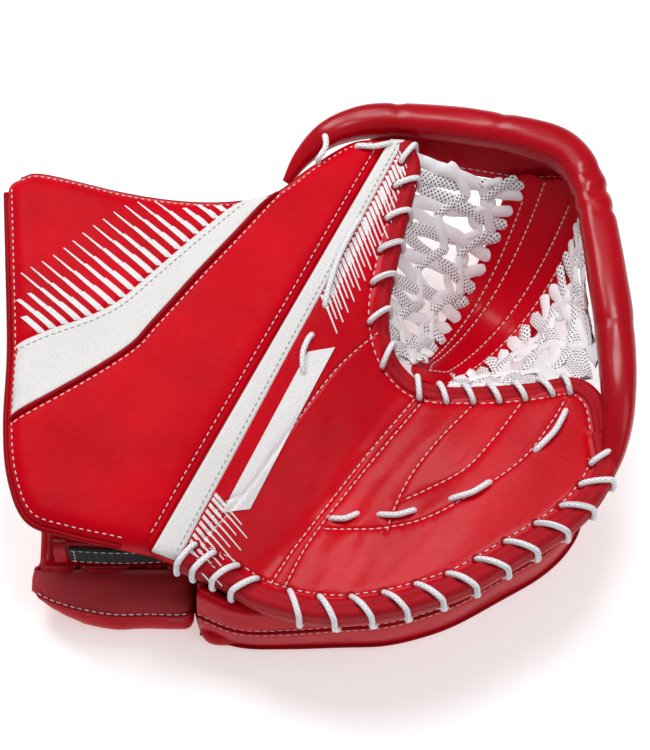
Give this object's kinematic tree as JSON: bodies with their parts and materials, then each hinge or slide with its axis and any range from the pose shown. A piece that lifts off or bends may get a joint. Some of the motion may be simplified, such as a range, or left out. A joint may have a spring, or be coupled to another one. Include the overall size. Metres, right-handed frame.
{
  "type": "ice hockey goalie catch glove",
  "caption": "Catch glove for an ice hockey goalie: padded cuff, laced palm halves that fold at a crease, deep netted pocket and wrist straps.",
  "frame": {"origin": "centre of the glove's box at the level of the surface it lies on, on its back with the palm up", "axes": "+X from the cuff towards the fingertips, +Y towards the thumb, +Z out of the palm"},
  "size_m": [0.3804, 0.3404, 0.13],
  "materials": {
    "red_leather": "grained red synthetic leather, semi-matte",
    "palm_leather": "smooth red palm leather, satin gloss",
    "white_leather": "smooth white synthetic leather, semi-matte",
    "binding": "dark red woven binding tape",
    "webbing": "red woven nylon webbing",
    "loop_pile": "black loop pile",
    "lace": "white braided round lace",
    "net_lace": "white flat woven lace",
    "lining": "dark knitted lining",
    "foam": "closed-cell foam, hidden",
    "board": "plastic stiffener sheet, hidden",
    "buckle": "moulded plastic"
  },
  "bodies": {
    "hand": {"finger_palm_skin": "palm_leather", "finger_palm_foam": "foam", "finger_palm_board": "board", "finger_palm_liner": "lining", "finger_edge_binding": "binding", "rim_binding": "binding", "finger_edge_lace": "lace", "rim_lace": "lace", "palm_lace": "lace", "finger_stalls": "lining", "back_cover": "red_leather", "back_foam": "foam", "back_liner": "lining", "finger_roll_cover": "palm_leather", "finger_roll_core": "foam", "finger_web": "net_lace", "hand_strap": "webbing", "hand_strap_buckle": "buckle", "strap_anchor": "webbing"},
    "thumb_cuff": {"cuff_cover": "red_leather", "cuff_firm_foam": "foam", "cuff_board": "board", "cuff_soft_foam": "foam", "cuff_liner": "lining", "swoosh_stripe": "white_leather", "break_stripe": "white_leather", "thumb_palm_skin": "palm_leather", "thumb_palm_foam": "foam", "thumb_palm_board": "board", "thumb_palm_liner": "lining", "thumb_edge_binding": "binding", "thumb_heel_binding": "binding", "thumb_edge_lace": "lace", "thumb_heel_lace": "lace", "thumb_stall": "lining", "thumb_guard": "board", "thumb_roll_cover": "palm_leather", "thumb_roll_core": "foam", "thumb_web": "net_lace", "thumb_lace": "lace"},
    "pocket": {"tee_face": "palm_leather", "tee_foam": "foam", "tee_back": "red_leather", "tee_roll_cover": "palm_leather", "tee_roll_core": "foam"},
    "wrist_strap": {"strap_band": "webbing", "strap_loop_face": "loop_pile", "strap_tip": "binding"},
    "wrist_flap": {"wrist_pad_cover": "red_leather", "wrist_pad_foam": "foam"}
  },
  "joints": [
    {"name": "palm_break", "type": "hinge", "parent": "hand", "child": "thumb_cuff", "pos_m": [0.0615, -0.0055, 0.066], "axis": [0.6, 0.8, 0], "range_deg": [0, 45], "stiffness_Nm_per_rad": 0.6},
    {"name": "tee_flex", "type": "hinge", "parent": "hand", "child": "pocket", "pos_m": [0.0615, -0.0055, 0.066], "axis": [0.6, 0.8, 0], "range_deg": [0, 24], "stiffness_Nm_per_rad": 0.3},
    {"name": "wrist_strap_swing", "type": "hinge", "parent": "hand", "child": "wrist_strap", "pos_m": [-0.071, -0.1105, 0.0595], "axis": [0, 0, 1], "range_deg": [0, 60]},
    {"name": "wrist_flap_fold", "type": "hinge", "parent": "hand", "child": "wrist_flap", "pos_m": [-0.0703, -0.0955, 0], "axis": [0, -1, 0], "range_deg": [0, 35]}
  ],
  "couplings": [
    {"joint": "tee_flex", "follows": "palm_break", "ratio": 0.5}
  ]
}
